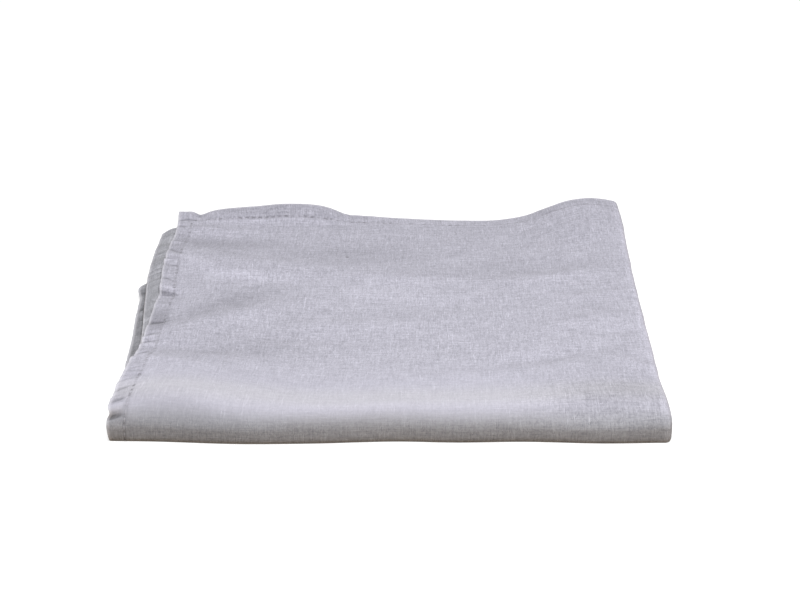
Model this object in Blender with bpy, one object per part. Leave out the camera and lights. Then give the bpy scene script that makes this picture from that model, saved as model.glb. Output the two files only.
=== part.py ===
"""A hemmed linen napkin, folded twice into quarters and lying on a table.

The cloth is one solid. Its flat square of 450 mm is folded in half twice, so the right side is a folded edge,
the near side is the fold of both layers, and the left and far sides show the four hemmed edges.
The napkin stands on z = 0 with its footprint centred, x to the right and y away from the viewer.
Tables are in millimetres, and Blender's unit is the metre.
"""

import bpy
import numpy as np

MM = 0.001

# Thickness of the sheet as a solid.
SHEET = 1.2

# Least air between two neighbouring layers, and how the rest of the air is shared by the top and bottom pair.
LEAST_GAP = 0.4
TOP_PAIR_AIR = 0.27
BOTTOM_PAIR_AIR = 0.20

# Lines of the grid: across the visible layers, round the right fold, across the hidden layers, then along the
# top run, round the near fold and along the bottom run.
OUTER_COLUMNS = 27
FOLD_COLUMNS = 6
INNER_COLUMNS = 14
TOP_ROWS = 27
NEAR_ROWS = 13
BOTTOM_ROWS = 10
FAR_CROWDING = 1.15
LEFT_CROWDING = 1.35

# Height of the top face above the table. One row is a section at y, from the far side to the near fold.
SECTION_X = (-116.0, -88.0, -58.0, -25.0, 10.0, 45.0, 75.0, 100.0, 115.0)
SECTIONS = (
    (112.5, (10.6, 9.8, 9.2, 8.6, 8.0, 6.8, 9.0, 13.5, 14.5)),
    (84.0, (9.4, 8.8, 8.6, 8.4, 8.0, 8.0, 9.6, 13.0, 14.2)),
    (55.0, (9.6, 9.8, 9.4, 9.2, 9.0, 9.2, 10.4, 12.6, 13.4)),
    (20.0, (9.4, 9.6, 9.9, 10.2, 10.4, 10.8, 11.6, 12.6, 12.9)),
    (-20.0, (9.8, 10.2, 10.8, 11.4, 11.8, 12.0, 12.4, 12.8, 12.7)),
    (-50.0, (12.2, 12.2, 12.4, 12.7, 13.0, 13.2, 13.4, 13.4, 12.9)),
    (-74.0, (17.2, 16.6, 15.0, 14.4, 14.6, 14.8, 14.8, 14.4, 13.6)),
    (-92.0, (17.6, 17.0, 15.9, 15.2, 15.3, 15.4, 15.3, 14.9, 14.2)),
    (-112.0, (16.2, 15.8, 14.9, 14.9, 14.8, 14.8, 14.9, 14.9, 14.6)),
)

# The far hem of the top layer: where it is, how high it stands, and how far forward its lift reaches.
FAR_HEM_COLUMNS = ("x", "height", "reach")
FAR_HEM = (
    (-116.0, 11.0, 12.0),
    (-101.0, 11.5, 11.0),
    (-97.0, 10.6, 11.0),
    (-90.0, 12.3, 11.0),
    (-70.0, 14.5, 12.0),
    (-46.0, 16.0, 13.0),
    (-33.0, 14.5, 13.0),
    (-22.0, 10.5, 12.0),
    (-9.0, 9.1, 12.0),
    (16.0, 7.5, 12.0),
    (40.0, 6.8, 16.0),
    (59.0, 7.4, 26.0),
    (68.0, 8.9, 34.0),
    (83.0, 14.4, 44.0),
    (95.0, 18.3, 50.0),
    (104.0, 19.2, 52.0),
    (116.0, 17.6, 52.0),
)

# The near fold: its front line, where the top face starts to turn down, where the underside leaves the table,
# at what share of its height the front line lies, and how round the roll is above and below that line
# (1 is an ellipse, less is boxier).
NEAR_FOLD_COLUMNS = ("x", "front", "top_turn", "foot", "front_share", "top_roundness", "foot_roundness")
NEAR_FOLD = (
    (-116.0, -112.4, -97.0, -110.6, 0.42, 0.98, 0.60),
    (-98.0, -112.9, -96.0, -111.0, 0.42, 1.02, 0.62),
    (-60.0, -115.2, -101.0, -113.2, 0.42, 1.02, 0.64),
    (-32.0, -114.8, -103.0, -112.8, 0.42, 1.02, 0.64),
    (6.0, -113.0, -101.0, -111.1, 0.42, 1.02, 0.64),
    (28.0, -113.9, -101.0, -111.9, 0.42, 1.02, 0.64),
    (56.0, -113.2, -100.0, -111.3, 0.42, 1.00, 0.64),
    (92.0, -114.6, -99.0, -112.7, 0.42, 0.94, 0.60),
    (112.0, -114.0, -101.0, -112.1, 0.44, 0.80, 0.56),
)

# Left edges of the four layers, counted from the top, and the right edges of the top and bottom pair.
SIDE_COLUMNS = ("y", "left_1", "left_2", "left_3", "left_4", "right_top", "right_bottom")
SIDES = (
    (114.0, -108.6, -114.6, -113.4, -113.6, 115.1, 112.6),
    (96.0, -107.9, -115.4, -114.4, -114.2, 115.6, 113.0),
    (70.0, -108.8, -116.2, -115.2, -115.0, 115.2, 112.8),
    (45.0, -108.8, -115.9, -116.2, -115.4, 114.4, 112.2),
    (20.0, -107.4, -114.2, -117.2, -116.0, 113.7, 111.6),
    (0.0, -107.2, -112.4, -116.5, -115.5, 113.3, 111.2),
    (-25.0, -107.6, -110.0, -114.8, -114.4, 112.9, 111.0),
    (-50.0, -107.6, -108.4, -113.6, -113.8, 112.5, 110.8),
    (-75.0, -108.2, -107.2, -111.6, -114.0, 111.7, 110.8),
    (-100.0, -110.4, -108.4, -110.2, -113.4, 112.2, 111.8),
    (-114.0, -111.8, -109.4, -109.8, -113.0, 112.9, 112.6),
)

# Far edges of the four layers, counted from the top.
FAR_EDGE_COLUMNS = ("x", "far_1", "far_2", "far_3", "far_4")
FAR_EDGES = (
    (-116.0, 112.0, 93.0, 98.0, 100.0),
    (-113.0, 112.2, 98.6, 101.0, 102.4),
    (-107.0, 112.4, 102.6, 103.4, 104.4),
    (-60.0, 112.6, 107.6, 106.6, 107.8),
    (0.0, 112.4, 109.4, 107.6, 108.6),
    (60.0, 112.5, 109.6, 108.4, 108.2),
    (116.0, 112.4, 110.6, 107.8, 107.4),
)

# Soft ridges and troughs of the top, each along a line through three places, tapering to nothing at its ends.
CREASE_COLUMNS = ("start_x", "start_y", "middle_x", "middle_y", "end_x", "end_y", "height", "half_width")
CREASES = {
    "ridge below the far hem": (-119.0, 70.0, -84.0, 53.0, 46.0, 38.0, 2.6, 11.0),
    "trough behind that ridge": (-119.0, 88.0, -86.0, 83.0, -40.0, 80.0, -1.4, 9.0),
    "fold memory from the left hem": (-120.0, 17.0, -106.0, 14.0, -80.0, 10.0, -1.8, 6.0),
    "ridge in front of the fold memory": (-112.0, -34.0, -74.0, -16.0, -20.0, 10.0, 2.3, 10.5),
    "trough behind the near fold": (-120.0, -46.0, -84.0, -48.0, -40.0, -58.0, -1.6, 8.0),
    "ridge to the right fold": (34.0, 22.0, 76.0, 27.0, 120.0, 41.0, 1.8, 7.5),
    "trough near the right fold": (38.0, -72.0, 72.0, -61.0, 110.0, -45.0, -1.5, 7.0),
    "small ridge at the right fold": (58.0, -34.0, 92.0, -21.0, 120.0, -14.0, 1.2, 6.5),
    "pucker at the right fold": (92.0, -60.0, 103.0, -67.0, 120.0, -79.0, 1.2, 5.0),
}


def along(place, places, values):
    """Smooth values between the rows of a table, and the end values beyond them."""
    places = np.asarray(places, float)
    values = np.asarray(values, float)
    if places[0] > places[-1]:
        places = places[::-1]
        values = values[::-1]
    slopes = np.gradient(values, places)
    place = np.clip(place, places[0], places[-1])
    left = np.clip(np.searchsorted(places, place) - 1, 0, len(places) - 2)
    span = places[left + 1] - places[left]
    part = (place - places[left]) / span
    back = 1.0 - part
    start = values[left] * (1.0 + 2.0 * part) * back**2 + slopes[left] * span * part * back**2
    end = values[left + 1] * (3.0 - 2.0 * part) * part**2 - slopes[left + 1] * span * back * part**2
    return start + end


def column(table, columns, name, place):
    """One named column of a table, at a place along the table's first column."""
    index = columns.index(name)
    return along(place, [row[0] for row in table], [row[index] for row in table])


def ease(part):
    """0 to 1 with no slope at either end."""
    part = np.clip(part, 0.0, 1.0)
    return part * part * (3.0 - 2.0 * part)


def crease_height(x, y, row):
    """Height that one ridge or trough adds."""
    start_x, start_y, middle_x, middle_y, end_x, end_y, height, half_width = row
    line_y = along(x, (start_x, middle_x, end_x), (start_y, middle_y, end_y))
    grow = ease((x - start_x) / (middle_x - start_x))
    fade = ease((end_x - x) / (end_x - middle_x))
    return height * grow * fade * np.exp(-(((y - line_y) / half_width) ** 2))


def top_height(x, y):
    """Height of the top face above the table."""
    by_section = [along(x, SECTION_X, heights) for _, heights in SECTIONS]
    section_y = [place for place, _ in SECTIONS]
    height = np.zeros(np.broadcast(x, y).shape)
    for index, values in enumerate(by_section):
        share = np.zeros(len(SECTIONS))
        share[index] = 1.0
        height = height + values * along(y, section_y, share)
    far_height = column(FAR_HEM, FAR_HEM_COLUMNS, "height", x)
    reach = column(FAR_HEM, FAR_HEM_COLUMNS, "reach", x)
    lift = far_height - along(x, SECTION_X, SECTIONS[0][1])
    height = height + lift * ease(1.0 - (SECTIONS[0][0] - y) / reach)
    for row in CREASES.values():
        height = height + crease_height(x, y, row)
    return height


def pair_spacing(height, share):
    """Distance between the middles of a pair's two layers, under a top face at this height."""
    air = height - 4.0 * SHEET - 3.0 * LEAST_GAP
    return SHEET + LEAST_GAP + share * np.maximum(air, 0.0)


def roll(turn, roundness):
    """Forward and upward shares of the near fold's roll, at a turn from 0 on top to pi at the foot."""
    forward = np.abs(np.sin(turn)) ** roundness
    upward = np.sign(np.cos(turn)) * np.abs(np.cos(turn)) ** roundness
    return forward, upward


def sheet_face(across, loop, top_run, turn, bottom_run, side):
    """Points of one face of the sheet.

    across is 0 at the right fold and 1 at the left edge, and loop is 0 on the outer layer, pi on the inner one.
    top_run goes from 0 at the far edge to 1 at the near fold, turn goes on round it from 0 to pi, and bottom_run
    goes back from 0 to 1. side is +0.5 for the face outside the pair and -0.5 for the face inside it.
    """
    inner = loop / np.pi
    rough_x = SECTION_X[-1] - across * (SECTION_X[-1] - SECTION_X[0])

    def far_edge(outer_name, inner_name):
        outer_y = column(FAR_EDGES, FAR_EDGE_COLUMNS, outer_name, rough_x)
        inner_y = column(FAR_EDGES, FAR_EDGE_COLUMNS, inner_name, rough_x)
        return outer_y + inner * (inner_y - outer_y)

    def near_fold(name):
        return column(NEAR_FOLD, NEAR_FOLD_COLUMNS, name, rough_x)

    turn_y = near_fold("top_turn")
    foot_y = near_fold("foot")
    upper_half = turn < np.pi / 2.0
    forward, upward = roll(turn, np.where(upper_half, near_fold("top_roundness"), near_fold("foot_roundness")))
    lower = turn / np.pi

    on_top = top_run < 1.0
    on_bottom = bottom_run > 0.0
    roll_start = np.where(upper_half, turn_y, foot_y)
    near_y = roll_start + forward * (near_fold("front") - roll_start)
    far_top = far_edge("far_1", "far_2")
    far_bottom = far_edge("far_4", "far_3")
    y = np.where(on_top, far_top + top_run * (turn_y - far_top), near_y)
    y = np.where(on_bottom, foot_y + bottom_run * (far_bottom - foot_y), y)

    def side_edge(outer_name, inner_name):
        outer_x = column(SIDES, SIDE_COLUMNS, outer_name, y)
        inner_x = column(SIDES, SIDE_COLUMNS, inner_name, y)
        return outer_x + inner * (inner_x - outer_x)

    left_top = side_edge("left_1", "left_2")
    left_bottom = side_edge("left_4", "left_3")
    right_top = side_edge("right_top", "right_top")
    right_bottom = side_edge("right_bottom", "right_bottom")
    left = left_top + lower * (left_bottom - left_top)
    right = right_top + lower * (right_bottom - right_top)

    rough_place = right - across * (right - left)
    height = top_height(rough_place, y)
    top_pair = pair_spacing(height, TOP_PAIR_AIR)
    bottom_pair = pair_spacing(height, BOTTOM_PAIR_AIR)
    spacing = top_pair + ease(lower) * (bottom_pair - top_pair)
    fold_middle = right - (spacing + SHEET) / 2.0
    x = fold_middle - across * (fold_middle - left)

    top_middle = height - (SHEET + top_pair) / 2.0
    bottom_middle = (SHEET + bottom_pair) / 2.0
    roll_middle = bottom_middle + near_fold("front_share") * (top_middle - bottom_middle)
    roll_half = np.where(upper_half, top_middle - roll_middle, roll_middle - bottom_middle)
    z = np.where(on_top, top_middle, roll_middle + upward * roll_half)
    z = np.where(on_bottom, bottom_middle, z)

    radius = spacing / 2.0 + side * SHEET
    out_of_pair = radius * np.cos(loop)
    outermost = (spacing + SHEET) / 2.0
    y = y + np.sin(turn) * (outermost - out_of_pair)
    z = z + np.cos(turn) * out_of_pair
    x = x + radius * np.sin(loop)
    return np.stack((x, y, z), axis=-1) * MM


def grid_lines():
    """The across and loop value of each column, and the run and turn values of each row."""
    outer = 1.0 - np.linspace(0.0, 1.0, OUTER_COLUMNS) ** LEFT_CROWDING
    inner = 1.0 - np.linspace(1.0, 0.0, INNER_COLUMNS) ** LEFT_CROWDING
    bends = np.linspace(0.0, np.pi, FOLD_COLUMNS + 1)
    across = np.concatenate((outer, np.zeros(FOLD_COLUMNS - 1), inner))
    loop = np.concatenate((np.zeros(OUTER_COLUMNS), bends[1:-1], np.full(INNER_COLUMNS, np.pi)))

    top_run = np.linspace(0.0, 1.0, TOP_ROWS) ** FAR_CROWDING
    turns = np.linspace(0.0, np.pi, NEAR_ROWS)
    bottom_run = np.linspace(0.0, 1.0, BOTTOM_ROWS)
    rows_top = np.concatenate((top_run[:-1], np.ones(NEAR_ROWS + BOTTOM_ROWS - 1)))
    rows_turn = np.concatenate((np.zeros(TOP_ROWS - 1), turns, np.full(BOTTOM_ROWS - 1, np.pi)))
    rows_bottom = np.concatenate((np.zeros(TOP_ROWS - 1 + NEAR_ROWS), bottom_run[1:]))
    return across, loop, rows_top, rows_turn, rows_bottom


def centred(outside, inside):
    """Both faces moved so that their footprint is centred on the origin."""
    both = np.concatenate((outside.reshape(-1, 3), inside.reshape(-1, 3)))
    middle = (both.min(axis=0) + both.max(axis=0)) / 2.0
    middle[2] = 0.0
    return outside - middle, inside - middle


def closed_sheet(outside, inside):
    """Vertices and quads of the closed sheet between two grids of points."""
    columns, rows = outside.shape[:2]
    count = columns * rows
    number = np.arange(count).reshape(columns, rows)
    faces = []
    for i in range(columns - 1):
        for j in range(rows - 1):
            quad = (number[i, j], number[i, j + 1], number[i + 1, j + 1], number[i + 1, j])
            faces.append(tuple(int(index) for index in quad))
            faces.append(tuple(int(index) + count for index in reversed(quad)))
    rim = list(number[:, 0]) + list(number[-1, 1:]) + list(number[-2::-1, -1]) + list(number[0, -2:0:-1])
    for here, after in zip(rim, rim[1:] + rim[:1]):
        faces.append((int(here), int(after), int(after) + count, int(here) + count))
    points = np.concatenate((outside.reshape(-1, 3), inside.reshape(-1, 3)))
    return points.tolist(), faces


def plain_material(name, colour, roughness):
    """A Principled material of one colour."""
    material = bpy.data.materials.new(name)
    material.use_nodes = True
    shader = material.node_tree.nodes["Principled BSDF"]
    shader.inputs["Base Color"].default_value = (*colour, 1.0)
    shader.inputs["Roughness"].default_value = roughness
    material.diffuse_color = (*colour, 1.0)
    return material


def build_napkin():
    """The folded napkin as one closed mesh."""
    across, loop, top_run, turn, bottom_run = grid_lines()
    lines = (across[:, None], loop[:, None], top_run[None, :], turn[None, :], bottom_run[None, :])
    outside, inside = centred(sheet_face(*lines, side=0.5), sheet_face(*lines, side=-0.5))
    points, faces = closed_sheet(outside, inside)
    mesh = bpy.data.meshes.new("napkin")
    mesh.from_pydata(points, [], faces)
    mesh.validate()
    napkin = bpy.data.objects.new("napkin", mesh)
    bpy.context.scene.collection.objects.link(napkin)
    mesh.materials.append(plain_material("grey_lavender_linen", (0.50, 0.49, 0.55), 0.92))
    return napkin


for old in list(bpy.data.objects):
    bpy.data.objects.remove(old, do_unlink=True)
build_napkin()
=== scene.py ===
# %% [markdown]
# This lesson dresses a folded linen napkin: one square of washed linen with a sewn hem, folded in half
# twice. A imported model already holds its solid, its size and its place. We load that frame first and make
# everything in it, in metres, with x to the right, y away from the viewer and z up.

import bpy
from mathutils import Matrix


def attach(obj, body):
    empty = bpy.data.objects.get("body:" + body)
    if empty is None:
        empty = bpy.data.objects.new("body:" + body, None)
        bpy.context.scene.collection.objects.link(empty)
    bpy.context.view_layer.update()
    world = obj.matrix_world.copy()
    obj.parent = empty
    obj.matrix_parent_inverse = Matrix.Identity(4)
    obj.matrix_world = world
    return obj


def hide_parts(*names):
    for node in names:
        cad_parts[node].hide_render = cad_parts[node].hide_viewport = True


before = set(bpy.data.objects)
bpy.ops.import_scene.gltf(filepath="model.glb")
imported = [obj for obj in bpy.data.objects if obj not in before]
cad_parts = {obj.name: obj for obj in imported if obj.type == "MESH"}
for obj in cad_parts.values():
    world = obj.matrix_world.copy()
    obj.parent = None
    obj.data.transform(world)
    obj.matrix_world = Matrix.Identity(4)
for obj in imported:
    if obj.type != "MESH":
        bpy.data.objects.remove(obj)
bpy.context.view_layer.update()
print("packed nodes:", list(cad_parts))

# %% [markdown]
# The camera comes first. The napkin is seen from the front and from a low height, 24 degrees above the table.
# A long lens keeps the far side nearly as wide as the near one.

# %% Camera
import math

import bmesh
import bpy
import mathutils
import numpy as np

CAMERA_PLACE = (0.0051, -0.7408, 0.3417)
CAMERA_LOOKS_DOWN = math.radians(24.0)
CAMERA_LENS_MM = 80.55
SENSOR_WIDTH_MM = 36.0


def add_object(name, data):
    """A new object with this data, linked into the scene."""
    thing = bpy.data.objects.new(name, data)
    bpy.context.scene.collection.objects.link(thing)
    return thing


def add_camera():
    """The camera that looks at the near fold from the front."""
    data = bpy.data.cameras.new("napkin_camera")
    data.lens = CAMERA_LENS_MM
    data.sensor_width = SENSOR_WIDTH_MM
    camera = add_object("napkin_camera", data)
    camera.location = CAMERA_PLACE
    camera.rotation_euler = (math.pi / 2.0 - CAMERA_LOOKS_DOWN, 0.0, 0.0)
    bpy.context.scene.camera = camera
    return camera


print("camera:", add_camera().name)

# %% [markdown]
# The flat cloth is a square of 450 mm. Two numbers name any place on it: u is the distance from the left
# hem of the top layer, across to the right fold and back along the hidden layer. v is the distance from its
# far hem, forward to the near fold, round it, and back along the underside. Working in these flat sizes
# means that hem, seam and weave keep their true size wherever the folds take them. The folding is a rule,
# so points are computed from it. A cloth simulation could fold a square too, but it would not land on these
# edges and ridges.

# %% Flat cloth and its sheet
MM = 0.001
FLAT = 450.0
FOLD_TAKES = 10.0
ROLL_STARTS = 211.0
ROLL_FRONT = 229.0
ROLL_ENDS = 237.0

HEM_WIDTH = 8.0
SEAM_INSET = 7.0
PLAIN_THICKNESS = 0.75
HEM_THICKNESS = 1.35
HEM_STEP = 0.7

print("cloth from fold to fold in mm:", (FLAT - FOLD_TAKES) / 2.0)

# %% [markdown]
# These are the sizes of the solid's folds, all in millimetres. Each section is the height of the top face
# at one y, and the hem, the near fold and the edges of the four layers have a row for each place where they
# change. The four layers lie a little apart, and the air between them is shared as in the solid. Two things
# are set finer than in the solid. The near fold is up to 1.3 mm off the solid's: tighter along most of its
# length, and rounder at its right end. The lower layers step in more sharply, by up to 3.2 mm.

# %% Sizes of the folds
SOLID_SHEET = 1.2
LEAST_GAP = 0.4
TOP_PAIR_AIR = 0.27
BOTTOM_PAIR_AIR = 0.20
FOOTPRINT_MIDDLE = (-0.70, -1.28, 0.0)

SECTION_X = (-116, -88, -58, -25, 10, 45, 75, 100, 115)
SECTIONS = (
    (112.5, (10.6, 9.8, 9.2, 8.6, 8, 6.8, 9, 13.5, 14.5)),
    (84, (9.4, 8.8, 8.6, 8.4, 8, 8, 9.6, 13, 14.2)),
    (55, (9.6, 9.8, 9.4, 9.2, 9, 9.2, 10.4, 12.6, 13.4)),
    (20, (9.4, 9.6, 9.9, 10.2, 10.4, 10.8, 11.6, 12.6, 12.9)),
    (-20, (9.8, 10.2, 10.8, 11.4, 11.8, 12, 12.4, 12.8, 12.7)),
    (-50, (12.2, 12.2, 12.4, 12.7, 13, 13.2, 13.4, 13.4, 12.9)),
    (-74, (17.2, 16.6, 15, 14.4, 14.6, 14.8, 14.8, 14.4, 13.6)),
    (-92, (17.6, 17, 15.9, 15.2, 15.3, 15.4, 15.3, 14.9, 14.2)),
    (-112, (16.2, 15.8, 14.9, 14.9, 14.8, 14.8, 14.9, 14.9, 14.6)),
)

FAR_HEM_COLUMNS = ("x", "height", "reach")
FAR_HEM = (
    (-116, 11, 12),
    (-101, 11.5, 11),
    (-97, 10.6, 11),
    (-90, 12.3, 11),
    (-70, 14.5, 12),
    (-46, 16, 13),
    (-33, 14.5, 13),
    (-22, 10.5, 12),
    (-9, 9.1, 12),
    (16, 7.5, 12),
    (40, 6.8, 16),
    (59, 7.4, 26),
    (68, 8.9, 34),
    (83, 14.4, 44),
    (95, 18.3, 50),
    (104, 19.2, 52),
    (116, 17.6, 52),
)

NEAR_FOLD_COLUMNS = ("x", "front", "top_turn", "foot", "front_share", "top_roundness", "foot_roundness")
NEAR_FOLD = (
    (-116, -112.4, -103.5, -110.6, 0.36, 0.88, 0.60),
    (-98, -112.9, -97, -111, 0.38, 1.04, 0.62),
    (-60, -115.2, -102, -113.2, 0.36, 1.04, 0.64),
    (-32, -114.8, -107, -112.8, 0.34, 1.00, 0.64),
    (6, -113, -105, -111.1, 0.34, 1.00, 0.64),
    (28, -113.9, -105, -111.9, 0.34, 1.00, 0.64),
    (56, -113.2, -103, -111.3, 0.34, 1.02, 0.64),
    (92, -114.6, -97, -112.7, 0.38, 1.04, 0.60),
    (112, -114, -97, -112.1, 0.42, 1.00, 0.56),
)

SIDE_COLUMNS = ("y", "left_1", "left_2", "left_3", "left_4", "right_top", "right_bottom")
SIDES = (
    (114, -108.6, -114.6, -113.4, -113.6, 115.1, 112.6),
    (96, -107.9, -115.4, -114.4, -114.2, 115.6, 113),
    (70, -108.8, -116.2, -115.2, -115, 115.2, 112.8),
    (45, -108.8, -115.9, -113, -113, 114.4, 112.2),
    (40, -108.6, -115.7, -113, -113, 114.2, 112.1),
    (37, -108.4, -115.5, -116.4, -115.6, 114.1, 112),
    (20, -107.4, -114.2, -116.7, -116, 113.7, 111.6),
    (0, -107.2, -112.4, -116, -115.5, 113.3, 111.2),
    (-25, -107.6, -110, -114.4, -114.2, 112.9, 111),
    (-50, -107.6, -108.4, -113.6, -113.8, 112.5, 110.8),
    (-75, -108.2, -107.2, -111.6, -114, 111.7, 110.8),
    (-100, -110.4, -108.4, -110.2, -113.4, 112.2, 111.8),
    (-114, -111.8, -109.4, -109.8, -113, 112.9, 112.6),
)

FAR_EDGE_COLUMNS = ("x", "far_1", "far_2", "far_3", "far_4")
FAR_EDGES = (
    (-116, 112, 93, 98, 100),
    (-113, 112.2, 98.6, 101, 102.4),
    (-107, 112.4, 102.6, 103.4, 104.4),
    (-60, 112.6, 107.6, 106.6, 107.8),
    (0, 112.4, 109.4, 107.6, 108.6),
    (60, 112.5, 109.6, 108.4, 108.2),
    (116, 112.4, 110.6, 107.8, 107.4),
)

# Columns: start_x, start_y, middle_x, middle_y, end_x, end_y, height, half_width.
CREASES = {
    "ridge below the far hem": (-119, 70, -84, 53, 46, 38, 2.6, 11),
    "trough behind that ridge": (-119, 88, -86, 83, -40, 80, -1.4, 9),
    "fold memory from the left hem": (-120, 17, -106, 14, -80, 10, -1.8, 6),
    "ridge in front of the fold memory": (-112, -34, -74, -16, -20, 10, 2.3, 10.5),
    "trough behind the near fold": (-120, -46, -84, -48, -40, -58, -1.6, 8),
    "ridge to the right fold": (34, 22, 76, 27, 120, 41, 1.8, 7.5),
    "trough near the right fold": (38, -72, 72, -61, 110, -45, -1.5, 7),
    "small ridge at the right fold": (58, -34, 92, -21, 120, -14, 1.2, 6.5),
    "pucker at the right fold": (92, -60, 103, -67, 120, -79, 1.2, 5),
}

print("sections:", len(SECTIONS), "main creases:", len(CREASES))

# %% [markdown]
# A table gives values at a few places, and the cloth needs them everywhere. A smooth curve through the rows
# does it: a cubic between each two rows whose slope at a row comes from its neighbours. The same helper
# reads every table. The easing curve is the usual way to let a shape begin and end with no kink.

# %% Read a table between its rows
def along(place, places, values):
    """Smooth values between the rows of a table, and the end values beyond them."""
    places = np.asarray(places, float)
    values = np.asarray(values, float)
    if places[0] > places[-1]:
        places = places[::-1]
        values = values[::-1]
    slopes = np.gradient(values, places)
    place = np.clip(place, places[0], places[-1])
    left = np.clip(np.searchsorted(places, place) - 1, 0, len(places) - 2)
    span = places[left + 1] - places[left]
    part = (place - places[left]) / span
    back = 1.0 - part
    start = values[left] * (1.0 + 2.0 * part) * back**2 + slopes[left] * span * part * back**2
    end = values[left + 1] * (3.0 - 2.0 * part) * part**2 - slopes[left + 1] * span * back * part**2
    return start + end


def column(table, columns, name, place):
    """One named column of a table, at a place along the table's first column."""
    index = columns.index(name)
    return along(place, [row[0] for row in table], [row[index] for row in table])


def ease(part):
    """0 to 1 with no slope at either end."""
    part = np.clip(part, 0.0, 1.0)
    return part * part * (3.0 - 2.0 * part)


def bell(distance, half_width):
    """1 at no distance, falling softly to nearly nothing at twice the half width."""
    return np.exp(-((distance / half_width) ** 2))


print("top face at x = 30, y = -92 in mm:", round(float(along(30.0, SECTION_X, dict(SECTIONS)[-92])), 2))

# %% [markdown]
# A crease in linen is a soft ridge or trough along a bent line, widest in its middle and gone at its ends.
# The main ones are the solid's own. The eye also reads many fainter ones, so a second table adds those: the
# light lines that fan out from the left hem, and the small wrinkles that run into the right fold. One
# strength turns all the faint ones up or down together.

# %% Creases of the top
# Columns: the same as those of the main creases.
FAINT_CREASES = {
    "light line from the left hem": (-108, 62, -86, 44, -46, 30, 0.9, 4.2),
    "second line from the left hem": (-112, 96, -92, 95, -52, 92, 0.8, 4),
    "dark dip under the far hem": (-66, 72, -18, 66, 44, 60, -0.6, 14),
    "long faint ridge in the middle": (-40, 36, 8, 30, 62, 30, 0.6, 6),
    "faint trough in the middle": (-30, 8, 20, -2, 84, -2, -0.6, 7),
    "faint ridge before the middle": (-66, -22, -20, -26, 50, -18, 0.7, 6.5),
    "faint trough before it": (-84, -36, -44, -40, 20, -44, -0.6, 6),
    "line to the right fold": (40, 40, 82, 45, 119, 54, -0.3, 9),
    "wrinkle at the right fold": (70, 2, 98, 6, 119, 12, 0.6, 4),
    "second wrinkle at the right fold": (82, -40, 101, -34, 119, -30, -0.6, 4),
    "ridge along the near fold": (-10, -84, 40, -82, 96, -66, 0.5, 6.5),
    "line above the near left corner": (-112, -66, -96, -68, -66, -78, 0.7, 4.5),
}

FAINT_STRENGTH = 1.5


def crease_height(x, y, row):
    """Height that one ridge or trough adds."""
    start_x, start_y, middle_x, middle_y, end_x, end_y, height, half_width = row
    line_y = along(x, (start_x, middle_x, end_x), (start_y, middle_y, end_y))
    grow = ease((x - start_x) / (middle_x - start_x))
    fade = ease((end_x - x) / (end_x - middle_x))
    return height * grow * fade * bell(y - line_y, half_width)


def top_height(x, y):
    """Height of the top face above the table."""
    section_y = [place for place, _ in SECTIONS]
    height = np.zeros(np.broadcast(x, y).shape)
    for index, (_, heights) in enumerate(SECTIONS):
        share = np.zeros(len(SECTIONS))
        share[index] = 1.0
        height = height + along(x, SECTION_X, heights) * along(y, section_y, share)
    far_height = column(FAR_HEM, FAR_HEM_COLUMNS, "height", x)
    reach = column(FAR_HEM, FAR_HEM_COLUMNS, "reach", x)
    lift = far_height - along(x, SECTION_X, SECTIONS[0][1])
    height = height + lift * ease(1.0 - (SECTIONS[0][0] - y) / reach)
    for row in CREASES.values():
        height = height + crease_height(x, y, row)
    for row in FAINT_CREASES.values():
        height = height + FAINT_STRENGTH * crease_height(x, y, row)
    return height


print("top face in the middle in mm:", round(float(top_height(np.array(0.0), np.array(0.0))), 2))

# %% [markdown]
# A washed hem never lies flat. Its seam is a little shorter than the cloth, so it draws the cloth into
# small puckers, strongest on the seam and gone a few millimetres away. A wave would be too even, so its
# length wanders along the hem and its strength swells and sinks. On the top layer the eye sees each pucker,
# so those have rows of their own, in flat cloth sizes: a height above zero makes a ridge, and one below
# zero a dent. The hems underneath hang looser, so their puckers are longer and higher, on the lower pair
# most of all.

# %% Hem puckers
PUCKER_LENGTH = 5.6
PUCKER_SLANT = 0.5
TOP_PUCKER_HEIGHT = 0.22
HIDDEN_PUCKER_HEIGHT = 0.75
LOWER_PUCKER_HEIGHT = 1.5
HIDDEN_PUCKER_LENGTH = 10.5
FAR_PUCKER_LENGTH = 13.0
FAR_PUCKER_HEIGHT = 0.16
SEAM_DIP = 0.20
FAR_SEAM_DIP = 0.34
SEAM_DIP_WIDTH = 0.8
HEM_RISE = 0.22

SWELL = 0.38
SWELL_LENGTHS = (11.0, 27.0)
EDGE_SHARE = 0.45
PUCKER_REACH = 2.6
FADING_SHARE = 0.55
EDGE_FADE = 2.0
HIDDEN_WAVE_SHIFT = 60.0
FAR_WAVE_SHIFT = 30.0

# Columns: amount, length, start. Together they make the wave along the hem run fast and slow.
WANDERS = (
    (1.7, 4.9, 0.6),
    (1.3, 9.3, 0.0),
    (0.4, 1.9, 2.0),
)

PUCKER_STRENGTH = 1.3

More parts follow.
